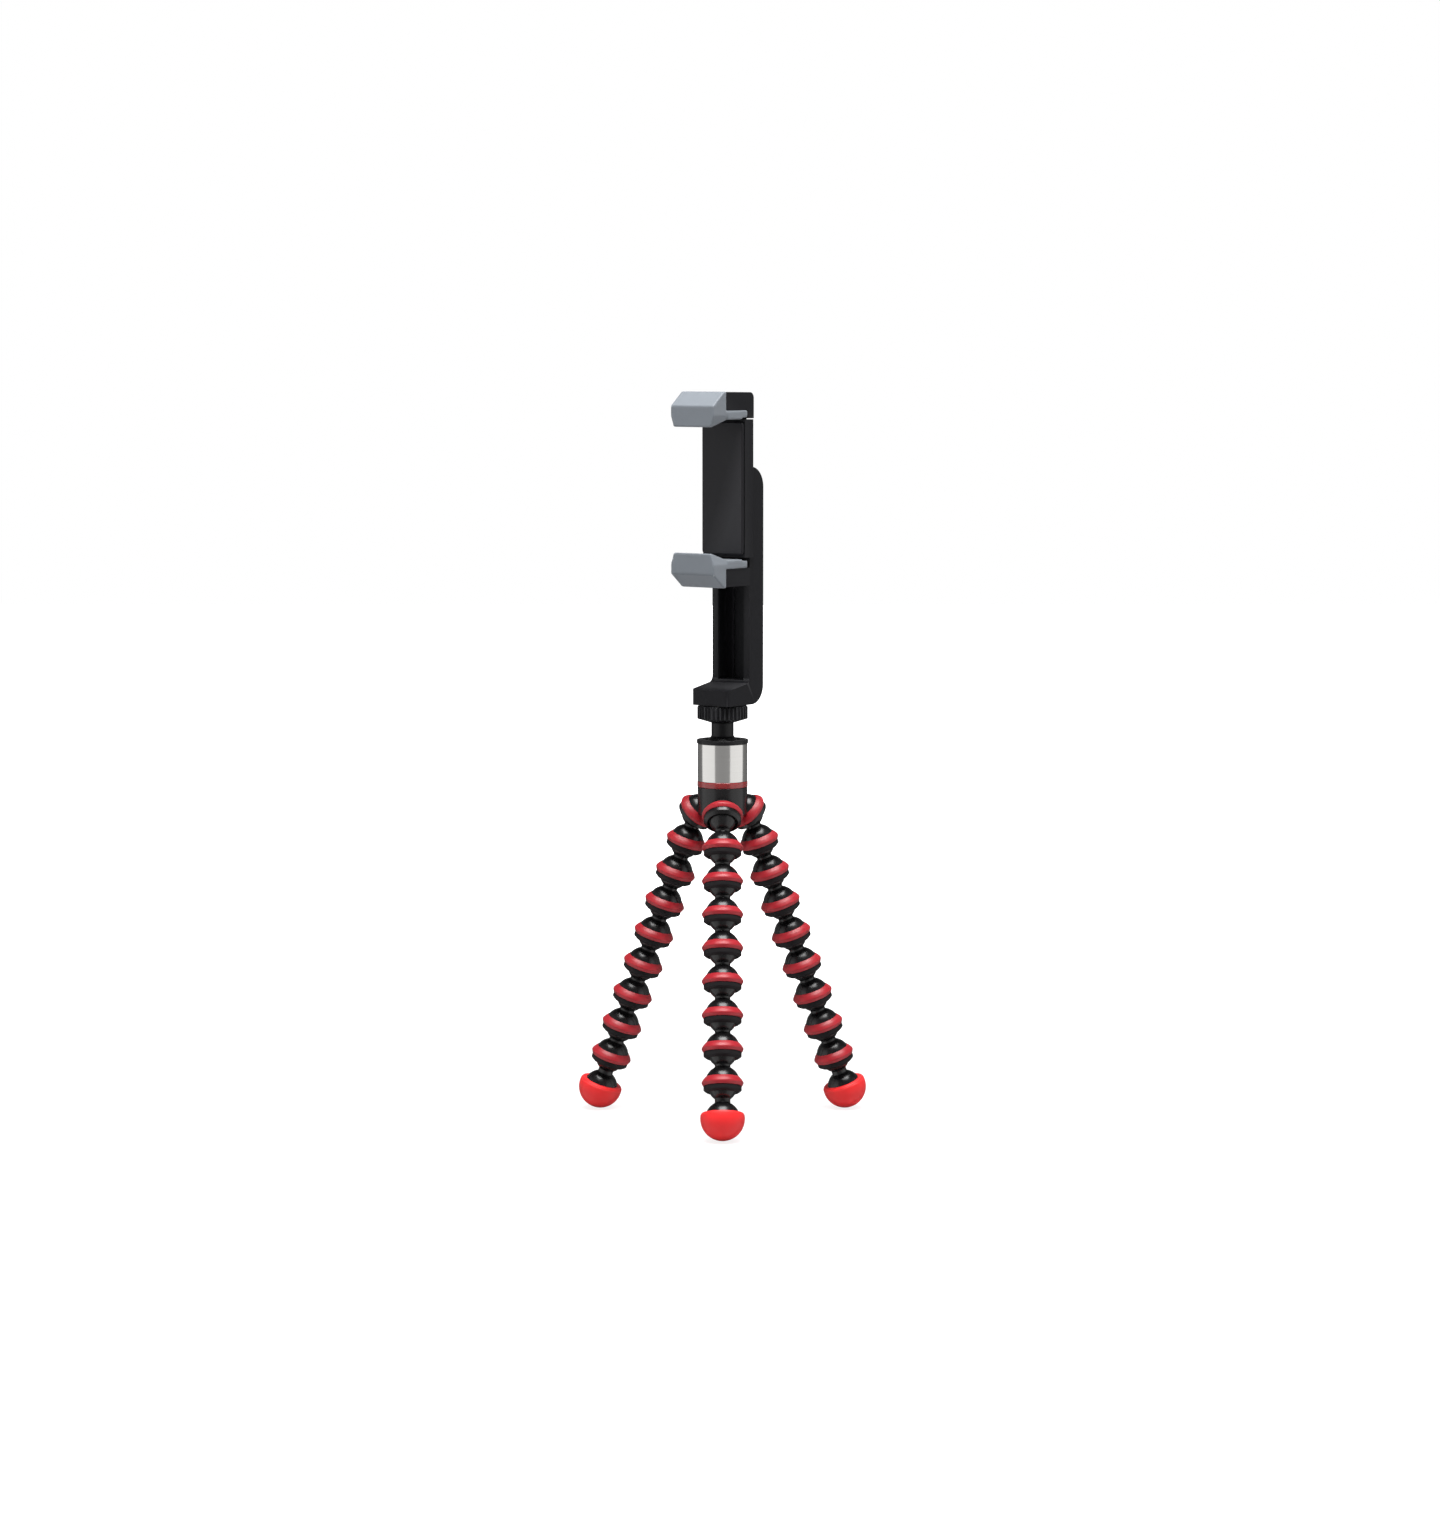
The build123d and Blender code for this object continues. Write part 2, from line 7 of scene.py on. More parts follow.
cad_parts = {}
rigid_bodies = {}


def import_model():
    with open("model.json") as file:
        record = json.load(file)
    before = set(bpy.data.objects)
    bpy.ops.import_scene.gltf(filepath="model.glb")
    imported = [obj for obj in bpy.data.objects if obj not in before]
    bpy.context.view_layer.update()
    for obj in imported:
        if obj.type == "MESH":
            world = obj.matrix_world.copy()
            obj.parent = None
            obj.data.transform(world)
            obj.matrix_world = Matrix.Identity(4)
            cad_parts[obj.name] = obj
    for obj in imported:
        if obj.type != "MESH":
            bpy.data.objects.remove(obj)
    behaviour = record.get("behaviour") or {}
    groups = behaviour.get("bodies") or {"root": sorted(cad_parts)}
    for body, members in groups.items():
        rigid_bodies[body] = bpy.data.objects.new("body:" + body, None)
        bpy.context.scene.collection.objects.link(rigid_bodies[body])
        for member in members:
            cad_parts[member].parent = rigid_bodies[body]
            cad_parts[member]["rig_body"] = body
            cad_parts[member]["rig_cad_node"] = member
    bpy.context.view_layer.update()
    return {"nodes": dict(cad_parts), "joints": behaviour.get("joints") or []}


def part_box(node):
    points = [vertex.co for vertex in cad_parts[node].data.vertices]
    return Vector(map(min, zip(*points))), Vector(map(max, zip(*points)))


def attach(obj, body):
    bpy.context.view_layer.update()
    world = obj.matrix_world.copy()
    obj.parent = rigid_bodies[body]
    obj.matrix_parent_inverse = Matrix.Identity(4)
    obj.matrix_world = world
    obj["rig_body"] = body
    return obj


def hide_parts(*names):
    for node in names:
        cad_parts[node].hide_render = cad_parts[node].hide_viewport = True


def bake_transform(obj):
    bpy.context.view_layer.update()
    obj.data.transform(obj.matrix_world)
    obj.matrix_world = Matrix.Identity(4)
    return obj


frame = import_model()
joints = {joint["name"]: joint for joint in frame["joints"]}
legNames = ["front", "left", "right"]
mm = 0.001
hubPlace = Vector(joints["head_pan"]["pos_m"])
onHub = Matrix.Translation((hubPlace.x, hubPlace.y, 0))
print("frame loaded:", len(frame["nodes"]), "parts")


# Ways of working with objects and nodes

def clearSelection():
    if bpy.context.object and bpy.context.object.mode != "OBJECT":
        bpy.ops.object.mode_set(mode="OBJECT")
    bpy.ops.object.select_all(action="DESELECT")


def selectOnly(piece):
    clearSelection()
    piece.select_set(True)
    bpy.context.view_layer.objects.active = piece


def discard(piece):
    selectOnly(piece)
    bpy.ops.object.delete()


def applyModifier(piece, kind, **settings):
    modifier = piece.modifiers.new(kind.lower(), kind)
    for key, value in settings.items():
        setattr(modifier, key, value)
    selectOnly(piece)
    bpy.ops.object.modifier_apply(modifier=modifier.name)


def addNode(tree, kind, **values):
    node = tree.nodes.new(kind)
    for key, value in values.items():
        if key in node.inputs:
            node.inputs[key].default_value = value
        else:
            setattr(node, key, value)
    return node


def addMapRange(tree, source, low, high, toLow=0.0, toHigh=1.0, **kind):
    node = addNode(tree, "ShaderNodeMapRange", **kind)
    for key, value in (("From Min", low), ("From Max", high), ("To Min", toLow), ("To Max", toHigh)):
        node.inputs[key].default_value = value
    tree.links.new(source, node.inputs["Value"])
    return node.outputs[0]


def addBackground(tree, strength, colour=None):
    node = addNode(tree, "ShaderNodeBackground", Strength=strength, Color=(1, 1, 1, 1))
    if colour:
        tree.links.new(colour, node.inputs["Color"])
    return node.outputs[0]


def mixShaders(tree, share, first, second):
    mix = addNode(tree, "ShaderNodeMixShader")
    for place, source in enumerate((share, first, second)):
        tree.links.new(source, mix.inputs[place])
    return mix.outputs[0]


# Camera and studio

camera = {"focalPixels": 4152, "pictureWidth": 1440, "sensorWidth": 36, "distance": 1.532, "height": 0.2894,
          "aside": -0.00093, "downDegrees": 5.90, "nearest": 0.02, "farthest": 30}
# greys that shiny surfaces show, by direction from the camera's side (0) round to behind the object (1)
surround = {"greys": [(0.0, 0.28), (0.085, 0.31), (0.10, 0.85), (0.62, 0.90), (0.68, 0.20), (1.0, 0.12)],
            "dimFrom": 0.25, "dimTo": 0.75, "dimShare": 0.12, "shinyStrength": 1.3, "plainStrength": 0.27}
floorLook = {"size": 6.0, "drop": 0.0002, "colour": (0.46, 0.46, 0.465, 1), "roughness": 0.55, "shine": 0.2,
             "glow": 2.0, "glowNear": 0.12, "glowFar": 0.5, "glowShareNear": 0.42}
softboxes = {
    "top_box": {"place": (0.04, -0.2, 1.2), "aim": 0.12, "size": (0.8, 0.75), "watts": 25.0, "glossy": True},
    "left_box": {"place": (-1.1, -0.9, 0.6), "aim": 0.14, "size": (0.9, 1.2), "watts": 1.2, "glossy": False},
    "right_box": {"place": (1.1, -0.8, 0.5), "aim": 0.14, "size": (0.9, 1.2), "watts": 0.5, "glossy": False},
    "back_box": {"place": (0.3, 1.3, 0.9), "aim": 0.12, "size": (1.2, 1.0), "watts": 7.0, "glossy": False}}


def addCamera():
    clearSelection()
    place = (camera["aside"], hubPlace.y - camera["distance"], camera["height"])
    bpy.ops.object.camera_add(location=place, rotation=(math.radians(90 - camera["downDegrees"]), 0, 0))
    view = bpy.context.object
    view.name = "photo_camera"
    view.data.sensor_fit = "HORIZONTAL"
    view.data.sensor_width = camera["sensorWidth"]
    view.data.lens = camera["focalPixels"] / camera["pictureWidth"] * camera["sensorWidth"]
    view.data.clip_start = camera["nearest"]
    view.data.clip_end = camera["farthest"]
    bpy.context.scene.camera = view


def paintWorld():
    # plain grey light all round, white for the camera, and bands of grey that only shiny surfaces show
    world = bpy.data.worlds.new("studio_surround")
    bpy.context.scene.world = world
    world.use_nodes = True
    tree = world.node_tree
    tree.nodes.clear()
    link = tree.links.new
    direction = addNode(tree, "ShaderNodeTexCoord")
    parts = addNode(tree, "ShaderNodeSeparateXYZ")
    link(direction.outputs["Generated"], parts.inputs[0])
    flat = addNode(tree, "ShaderNodeCombineXYZ")
    link(parts.outputs["X"], flat.inputs["X"])
    link(parts.outputs["Y"], flat.inputs["Y"])
    level = addNode(tree, "ShaderNodeVectorMath", operation="NORMALIZE")
    link(flat.outputs[0], level.inputs[0])
    turned = addNode(tree, "ShaderNodeSeparateXYZ")
    link(level.outputs["Vector"], turned.inputs[0])
    around = addNode(tree, "ShaderNodeValToRGB")
    ramp = around.color_ramp
    greys = surround["greys"]
    ramp.elements[0].position, ramp.elements[1].position = greys[0][0], greys[-1][0]
    for place, _ in greys[1:-1]:
        ramp.elements.new(place)
    for element, (_, grey) in zip(ramp.elements, greys):
        element.color = (grey, grey, grey, 1)
    link(addMapRange(tree, turned.outputs["Y"], -1, 1), around.inputs["Fac"])
    dimmed = addNode(tree, "ShaderNodeVectorMath", operation="SCALE")
    link(around.outputs["Color"], dimmed.inputs[0])
    share = addMapRange(tree, parts.outputs["Z"], surround["dimFrom"], surround["dimTo"],
                        1, surround["dimShare"])
    link(share, dimmed.inputs["Scale"])
    shiny = addBackground(tree, surround["shinyStrength"], dimmed.outputs[0])
    plain = addBackground(tree, surround["plainStrength"])
    white = addBackground(tree, 1.0)
    path = addNode(tree, "ShaderNodeLightPath")
    light = mixShaders(tree, path.outputs["Is Glossy Ray"], plain, shiny)
    seen = mixShaders(tree, path.outputs["Is Camera Ray"], light, white)
    link(seen, addNode(tree, "ShaderNodeOutputWorld").inputs["Surface"])


def addFloor():
    clearSelection()
    bpy.ops.mesh.primitive_plane_add(size=floorLook["size"], location=(0, 0, -floorLook["drop"]))
    floor = bpy.context.object
    floor.name = "studio_floor"
    finish = bpy.data.materials.new("pale_floor")
    finish.use_nodes = True
    tree = finish.node_tree
    link = tree.links.new
    shade = tree.nodes["Principled BSDF"]
    shade.inputs["Base Color"].default_value = floorLook["colour"]
    shade.inputs["Roughness"].default_value = floorLook["roughness"]
    shade.inputs["Specular IOR Level"].default_value = floorLook["shine"]
    glow = addNode(tree, "ShaderNodeEmission", Strength=floorLook["glow"])
    path = addNode(tree, "ShaderNodeLightPath")
    # the glow takes over away from the feet, so that the floor ends in plain white
    place = addNode(tree, "ShaderNodeTexCoord")
    away = addNode(tree, "ShaderNodeVectorMath", operation="LENGTH")
    link(place.outputs["Object"], away.inputs[0])
    spread = addMapRange(tree, away.outputs["Value"], floorLook["glowNear"], floorLook["glowFar"],
                         floorLook["glowShareNear"], 1.0, interpolation_type="SMOOTHSTEP")
    share = addNode(tree, "ShaderNodeMath", operation="MULTIPLY")
    link(path.outputs["Is Camera Ray"], share.inputs[0])
    link(spread, share.inputs[1])
    lit = mixShaders(tree, share.outputs[0], shade.outputs[0], glow.outputs[0])
    clear = addNode(tree, "ShaderNodeBsdfTransparent")
    seen = mixShaders(tree, path.outputs["Is Glossy Ray"], lit, clear.outputs[0])
    link(seen, tree.nodes["Material Output"].inputs["Surface"])
    floor.data.materials.append(finish)


def addSoftbox(name, look):
    clearSelection()
    bpy.ops.object.light_add(type="AREA", location=look["place"])
    lamp = bpy.context.object
    lamp.name = name
    lamp.data.shape = "RECTANGLE"
    lamp.data.size, lamp.data.size_y = look["size"]
    lamp.data.energy = look["watts"]
    aim = Vector((0, 0, look["aim"])) - Vector(look["place"])
    lamp.rotation_euler = aim.to_track_quat("-Z", "Y").to_euler()
    lamp.visible_glossy = look["glossy"]


bpy.context.scene.view_settings.view_transform = "Standard"
addCamera()
paintWorld()
addFloor()
for boxName, boxLook in softboxes.items():
    addSoftbox(boxName, boxLook)
print("camera, floor and light set")


# Finishes

plainLook = {"metal": 0.0, "shine": 0.5, "coat": 0.0, "coatRoughness": 0.1, "sheen": 0.0,
             "sheenRoughness": 0.5, "roughSpread": 0.05, "stretch": (1, 1, 1), "mottleScale": 180.0,
             "mottleDetail": 4.0, "mottleLow": 0.3, "mottleHigh": 0.7, "wearAndHighlightShare": 0.0,
             "wearAndHighlightColour": (0.2, 0.2, 0.2), "edgeFrom": 0.53, "edgeTo": 0.62, "grainScale": 3500.0,
             "grainDetail": 3.0, "grainHeight": 0.00008}


def makeFinish(name, given):
    # a Principled surface with mottling in its roughness, a fine grain and pale edges that are partly wear
    # and partly painted highlight
    look = {**plainLook, **given}
    finish = bpy.data.materials.new(name)
    finish.use_nodes = True
    tree = finish.node_tree
    link = tree.links.new
    shade = tree.nodes["Principled BSDF"]
    shade.inputs["Metallic"].default_value = look["metal"]
    shade.inputs["Specular IOR Level"].default_value = look["shine"]
    shade.inputs["Coat Weight"].default_value = look["coat"]
    shade.inputs["Coat Roughness"].default_value = look["coatRoughness"]
    shade.inputs["Sheen Weight"].default_value = look["sheen"]
    shade.inputs["Sheen Roughness"].default_value = look["sheenRoughness"]
    place = addNode(tree, "ShaderNodeTexCoord")
    stretch = addNode(tree, "ShaderNodeMapping", Scale=look["stretch"])
    link(place.outputs["Object"], stretch.inputs["Vector"])
    mottle = addNode(tree, "ShaderNodeTexNoise", Scale=look["mottleScale"], Detail=look["mottleDetail"])
    link(stretch.outputs[0], mottle.inputs["Vector"])
    rough = addMapRange(tree, mottle.outputs["Fac"], look["mottleLow"], look["mottleHigh"],
                        look["roughness"] - look["roughSpread"], look["roughness"] + look["roughSpread"])
    link(rough, shade.inputs["Roughness"])
    tint = addNode(tree, "ShaderNodeMix", data_type="RGBA")
    tint.inputs["A"].default_value = (*look["colour"], 1)
    tint.inputs["B"].default_value = (*look["otherColour"], 1)
    link(mottle.outputs["Fac"], tint.inputs["Factor"])
    # pale colour on sharp and rounded edges: partly edge wear, partly painted highlight along the edges
    shape = addNode(tree, "ShaderNodeNewGeometry")
    edge = addMapRange(tree, shape.outputs["Pointiness"], look["edgeFrom"], look["edgeTo"],
                       0, look["wearAndHighlightShare"])
    wearAndHighlight = addNode(tree, "ShaderNodeMix", data_type="RGBA")
    wearAndHighlight.inputs["B"].default_value = (*look["wearAndHighlightColour"], 1)
    link(tint.outputs["Result"], wearAndHighlight.inputs["A"])
    link(edge, wearAndHighlight.inputs["Factor"])
    link(wearAndHighlight.outputs["Result"], shade.inputs["Base Color"])
    grain = addNode(tree, "ShaderNodeTexNoise", Scale=look["grainScale"], Detail=look["grainDetail"])
    link(stretch.outputs[0], grain.inputs["Vector"])
    bump = addNode(tree, "ShaderNodeBump", Strength=look["grain"], Distance=look["grainHeight"])
    link(grain.outputs["Fac"], bump.inputs["Height"])
    link(bump.outputs["Normal"], shade.inputs["Normal"])
    return finish


# where a finish has an edge share, its pale edge colour is partly wear and partly painted highlight
glossBlack = makeFinish("gloss_black_link", {
    "colour": (0.0040, 0.0035, 0.0040), "otherColour": (0.0070, 0.0063, 0.0070), "roughness": 0.27,
    "shine": 0.42, "roughSpread": 0.04, "grain": 0.02, "grainScale": 2200.0, "mottleScale": 260.0})
mattDark = makeFinish("matt_dark_skirt", {
    "colour": (0.0105, 0.0092, 0.0100), "otherColour": (0.0170, 0.0150, 0.0165), "roughness": 0.5,
    "shine": 0.13, "grain": 0.25, "wearAndHighlightShare": 0.15, "wearAndHighlightColour": (0.075, 0.07, 0.075)})
ringRed = makeFinish("red_grip_rubber", {
    "colour": (0.36, 0.005, 0.013), "otherColour": (0.43, 0.008, 0.019), "roughness": 0.44,
    "grain": 0.18, "sheen": 0.05, "wearAndHighlightShare": 0.1, "wearAndHighlightColour": (0.70, 0.10, 0.13)})
footRed = makeFinish("red_foot_rubber", {
    "colour": (0.90, 0.012, 0.014), "otherColour": (0.94, 0.017, 0.019), "roughness": 0.5,
    "grain": 0.25, "sheen": 0.03, "wearAndHighlightShare": 0.1, "wearAndHighlightColour": (0.85, 0.12, 0.10)})
accentRed = makeFinish("dark_red_accent", {
    "colour": (0.25, 0.012, 0.014), "otherColour": (0.30, 0.016, 0.018), "roughness": 0.25,
    "coat": 0.5, "grain": 0.05})
bandSteel = makeFinish("polished_band_steel", {
    "colour": (0.62, 0.61, 0.59), "otherColour": (0.68, 0.67, 0.65), "metal": 1.0, "roughness": 0.13,
    "roughSpread": 0.03, "grain": 0.03, "stretch": (1, 1, 22), "grainScale": 900.0, "mottleScale": 90.0})
satinBlack = makeFinish("satin_black_shell", {
    "colour": (0.0085, 0.0085, 0.0100), "otherColour": (0.0125, 0.0125, 0.0145), "roughness": 0.5,
    "shine": 0.115, "grain": 0.35, "grainScale": 5200.0, "wearAndHighlightShare": 0.45,
    "wearAndHighlightColour": (0.060, 0.060, 0.064)})
plateBlack = makeFinish("smooth_black_plate", {
    "colour": (0.0095, 0.0092, 0.0115), "otherColour": (0.0120, 0.0116, 0.0142), "roughness": 0.4,
    "shine": 0.2, "roughSpread": 0.03, "grain": 0.10, "grainScale": 6500.0, "wearAndHighlightShare": 0.4,
    "wearAndHighlightColour": (0.055, 0.055, 0.060)})
headBlack = makeFinish("head_black", {
    "colour": (0.0060, 0.0060, 0.0070), "otherColour": (0.0090, 0.0090, 0.0100), "roughness": 0.36,
    "shine": 0.22, "grain": 0.12, "wearAndHighlightShare": 0.25, "wearAndHighlightColour": (0.07, 0.07, 0.075)})
# the pale rib edges here are mostly painted highlight on the knurl ribs, with a little wear
knurlBlack = makeFinish("knurled_black", {
    "colour": (0.0040, 0.0040, 0.0050), "otherColour": (0.0065, 0.0065, 0.0075), "roughness": 0.34,
    "shine": 0.08, "grain": 0.12, "wearAndHighlightShare": 0.8, "wearAndHighlightColour": (0.042, 0.042, 0.045)})
padGrey = makeFinish("grey_pad_rubber", {
    "colour": (0.160, 0.180, 0.205), "otherColour": (0.188, 0.210, 0.236), "roughness": 0.55,
    "grain": 0.35, "grainScale": 4200.0, "sheen": 0.25, "wearAndHighlightShare": 0.5, "wearAndHighlightColour": (0.48, 0.52, 0.56)})
machinedSteel = makeFinish("machined_steel", {
    "colour": (0.50, 0.50, 0.51), "otherColour": (0.60, 0.60, 0.60), "metal": 1.0, "roughness": 0.3,
    "grain": 0.1})
screwSteel = makeFinish("blackened_screw_steel", {
    "colour": (0.022, 0.022, 0.024), "otherColour": (0.034, 0.034, 0.036), "metal": 1.0, "roughness": 0.38,
    "grain": 0.1})
springSteel = makeFinish("drawn_spring_steel", {
    "colour": (0.40, 0.40, 0.42), "otherColour": (0.52, 0.52, 0.53), "metal": 1.0, "roughness": 0.28,
    "grain": 0.12})
turnedBrass = makeFinish("turned_brass", {
    "colour": (0.60, 0.42, 0.16), "otherColour": (0.70, 0.50, 0.22), "metal": 1.0, "roughness": 0.26,
    "grain": 0.1})
acetal = makeFinish("natural_acetal", {
    "colour": (0.68, 0.67, 0.62), "otherColour": (0.74, 0.73, 0.69), "roughness": 0.4, "grain": 0.1})
print("finishes mixed")


# Ways of shaping

shaping = {"latheSmooth": 32, "latheMerge": 0.00001, "bevelSegments": 3, "bevelAngle": 28, "bevelSmooth": 4,
           "copyMerge": 0.000002, "copyFlat": 0.5}


def arcPoints(middleR, middleZ, radius, startDegrees, endDegrees, steps):
    points = []
    for step in range(steps + 1):
        angle = math.radians(startDegrees + (endDegrees - startDegrees) * step / steps)
        points.append((middleR + radius * math.cos(angle), middleZ + radius * math.sin(angle)))
    return points


def roundCorners(corners, steps=4):
    # corners are (across, up, corner radius); the first and last stay sharp
    points = []
    for index, (across, up, radius) in enumerate(corners):
        if radius == 0 or index in (0, len(corners) - 1):
            points.append((across, up))
            continue
        here = Vector((across, up))
        back = (Vector(corners[index - 1][:2]) - here).normalized()
        ahead = (Vector(corners[index + 1][:2]) - here).normalized()
        half = back.angle(ahead) / 2
        middle = here + (back + ahead).normalized() * radius / math.sin(half)
        first = here + back * radius / math.tan(half) - middle
        last = here + ahead * radius / math.tan(half) - middle
        for step in range(steps + 1):
            points.append(tuple(middle + first.slerp(last, step / steps).normalized() * radius))
    return points


def turnOnLathe(name, outline, steps):
    # draws the outline by extruding one point after another in the X-Z plane, then spins it about Z
    clearSelection()
    bpy.ops.mesh.primitive_plane_add(size=mm)
    piece = bpy.context.object
    piece.name = name
    bpy.ops.object.mode_set(mode="EDIT")
    bpy.ops.mesh.select_all(action="SELECT")
    bpy.ops.mesh.merge(type="CENTER")
    last = outline[0]
    bpy.ops.transform.translate(value=(last[0] * mm, 0, last[1] * mm))
    for point in outline[1:]:
        step = ((point[0] - last[0]) * mm, 0, (point[1] - last[1]) * mm)
        bpy.ops.mesh.extrude_region_move(TRANSFORM_OT_translate={"value": step})
        last = point
    bpy.ops.mesh.select_all(action="SELECT")
    bpy.ops.mesh.spin(steps=steps, angle=math.tau, center=(0, 0, 0), axis=(0, 0, 1))
    bpy.ops.mesh.select_all(action="SELECT")
    bpy.ops.mesh.remove_doubles(threshold=shaping["latheMerge"])
    bpy.ops.mesh.normals_make_consistent(inside=False)
    bpy.ops.object.mode_set(mode="OBJECT")
    bpy.ops.object.shade_smooth_by_angle(angle=math.radians(shaping["latheSmooth"]))
    return piece


def copyTo(piece, name, place):
    # a copy with its own mesh, its place baked into it
    selectOnly(piece)
    bpy.ops.object.duplicate(linked=False)
    twin = bpy.context.object
    twin.name = name
    twin.data.name = name
    twin.matrix_world = place
    bpy.ops.object.transform_apply(location=True, rotation=True, scale=True)
    return twin


def turnInPlace(name, outline, steps, place):
    blank = turnOnLathe(name + "_blank", outline, steps)
    piece = copyTo(blank, name, place)
    discard(blank)
    return piece


def addBevel(piece, width, segments, angle):
    applyModifier(piece, "BEVEL", width=width * mm, segments=segments, limit_method="ANGLE",
                  angle_limit=math.radians(angle), use_clamp_overlap=True, harden_normals=False)
    bpy.ops.object.shade_smooth_by_angle(angle=math.radians(angle + shaping["bevelSmooth"]))
    applyModifier(piece, "WEIGHTED_NORMAL", keep_sharp=True)


def softenedCopy(node, name, width, segments=shaping["bevelSegments"], angle=shaping["bevelAngle"]):
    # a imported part's own shape, its triangles merged back into faces and its sharp edges rounded
    part = frame["nodes"][node]
    piece = part.copy()
    piece.data = part.data.copy()
    piece.name = name
    piece.data.name = name
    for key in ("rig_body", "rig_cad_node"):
        del piece[key]
    piece.parent = None
    bpy.context.scene.collection.objects.link(piece)
    selectOnly(piece)
    bpy.ops.object.mode_set(mode="EDIT")
    bpy.ops.mesh.select_all(action="SELECT")
    bpy.ops.mesh.remove_doubles(threshold=shaping["copyMerge"])
    bpy.ops.mesh.customdata_custom_splitnormals_clear()
    bpy.ops.mesh.dissolve_limited(angle_limit=math.radians(shaping["copyFlat"]))
    bpy.ops.object.mode_set(mode="OBJECT")
    addBevel(piece, width, segments, angle)
    return piece


def standAlong(point, axis):
    # turns +Z to an axis that isn't vertical, and moves the origin to a point
    across = Vector((0, 0, 1)).cross(axis).normalized()
    turn = Matrix((across, axis.cross(across), axis)).transposed().to_4x4()
    return Matrix.Translation(point) @ turn


def dress(piece, body, finish):
    piece.data.materials.clear()
    piece.data.materials.append(finish)
    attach(piece, body)


def repaint(node, finish):
    part = frame["nodes"][node]
    part.data.materials.clear()
    part.data.materials.append(finish)


# Leg links, one modelled and the rest copied (from here on, lengths in millimetres and angles in degrees)

linkLook = {
    "ballRadius": 5.25, "neckRadius": 2.85, "neckFillet": 0.55, "domeRadius": 6.35, "grooveRadius": 6.05,
    "grooveDrop": 1.2, "skirtRadius": 6.95, "skirtDrop": 2.8, "skirtRound": 0.35, "mouthRadius": 5.75,
    "mouthDrop": 3.7, "mouthEdge": 5.04, "edgeRound": 0.2, "ballDrop": 1.5, "pitch": 12.5,
    "socketRadius": 5.30, "count": 8, "around": 64, "paintRise": 0.01}
linkSteps = {"ball": 18, "fillet": 5, "dome": 10, "hollow": 16}
ringLook = {"radius": 7.75, "topRadius": 6.15, "topRise": 2.2, "topRound": 0.06, "bottomRadius": 7.15,
            "bottomRound": 0.12, "crown": (7.05, 1.17), "crownRound": 2.5, "ridgeRound": 0.75,
            "cornerSteps": 6, "lift": 0.01}


def socketOutline():
    # groove, skirt, mouth and the hollow inside, down from the groove's upper edge
    look = linkLook
    grooveTop = math.sqrt(look["domeRadius"] ** 2 - look["grooveRadius"] ** 2)
    mouthZ = -look["ballDrop"] - math.sqrt(look["socketRadius"] ** 2 - look["mouthEdge"] ** 2)
    outer = roundCorners([
        (look["grooveRadius"], grooveTop, 0),
        (look["grooveRadius"], -look["grooveDrop"], 0),
        (look["skirtRadius"], -look["grooveDrop"], look["edgeRound"]),
        (look["skirtRadius"], -look["skirtDrop"], look["skirtRound"]),
        (look["mouthRadius"], -look["mouthDrop"], look["edgeRound"]),
        (look["mouthEdge"], mouthZ, 0)])
    low = -math.degrees(math.acos(look["mouthEdge"] / look["socketRadius"]))
    return outer + arcPoints(0, -look["ballDrop"], look["socketRadius"], low, 90, linkSteps["hollow"])[1:]


def ballAndNeck(rise):
    # the ball on top, its neck and the fillets at both ends, down to the dome
    look = linkLook
    ball, neck, dome, soft = look["ballRadius"], look["neckRadius"], look["domeRadius"], look["neckFillet"]
    ballSoft = rise - math.sqrt((ball + soft) ** 2 - (neck + soft) ** 2)
    domeSoft = math.sqrt((dome + soft) ** 2 - (neck + soft) ** 2)
    ballTurn = math.degrees(math.atan2(rise - ballSoft, neck + soft))
    domeTurn = math.degrees(math.atan2(domeSoft, neck + soft))
    points = arcPoints(0, rise, ball, 90, -ballTurn, linkSteps["ball"])
    points += arcPoints(neck + soft, ballSoft, soft, 180 - ballTurn, 180, linkSteps["fillet"])[1:]
    points += arcPoints(neck + soft, domeSoft, soft, 180, 180 + domeTurn, linkSteps["fillet"])
    return points, domeTurn


def modelShell():
    look = linkLook
    points, domeTurn = ballAndNeck(look["pitch"] - look["ballDrop"])
    grooveTurn = math.degrees(math.acos(look["grooveRadius"] / look["domeRadius"]))
    points += arcPoints(0, 0, look["domeRadius"], domeTurn, grooveTurn, linkSteps["dome"])[1:]
    points += socketOutline()[1:]
    shell = turnOnLathe("link_shell", points, look["around"])
    shell.data.materials.append(glossBlack)
    shell.data.materials.append(mattDark)
    # everything below the groove is the matt skirt
    for face in shell.data.polygons:
        if face.center.z < (-look["grooveDrop"] + look["paintRise"]) * mm:
            face.material_index = 1
    return shell


def modelGrip():
    # a band that leans out from the dome to a rounded ridge and turns in again to a flat underside
    look = ringLook
    inner, low = linkLook["grooveRadius"], -linkLook["grooveDrop"] + look["lift"]
    points = [(inner, low)] + roundCorners([
        (inner, look["topRise"], 0),
        (look["topRadius"], look["topRise"], look["topRound"]),
        (*look["crown"], look["crownRound"]),
        (look["radius"], 0, look["ridgeRound"]),
        (look["bottomRadius"], low, look["bottomRound"]),
        (inner, low, 0)], look["cornerSteps"])
    grip = turnOnLathe("link_grip", points, linkLook["around"])
    grip.data.materials.append(ringRed)
    return grip


def placeCopy(model, name, place, body, node=None):
    piece = copyTo(model, name, place)
    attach(piece, body)
    if node:
        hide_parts(node)


def legPlaces(leg):
    # middles of the leg's balls, and the direction down the leg
    balls = [Vector(joints[f"{leg}_leg_joint_{n}"]["pos_m"]) for n in range(1, linkLook["count"] + 2)]
    return balls, (balls[-1] - balls[0]).normalized()


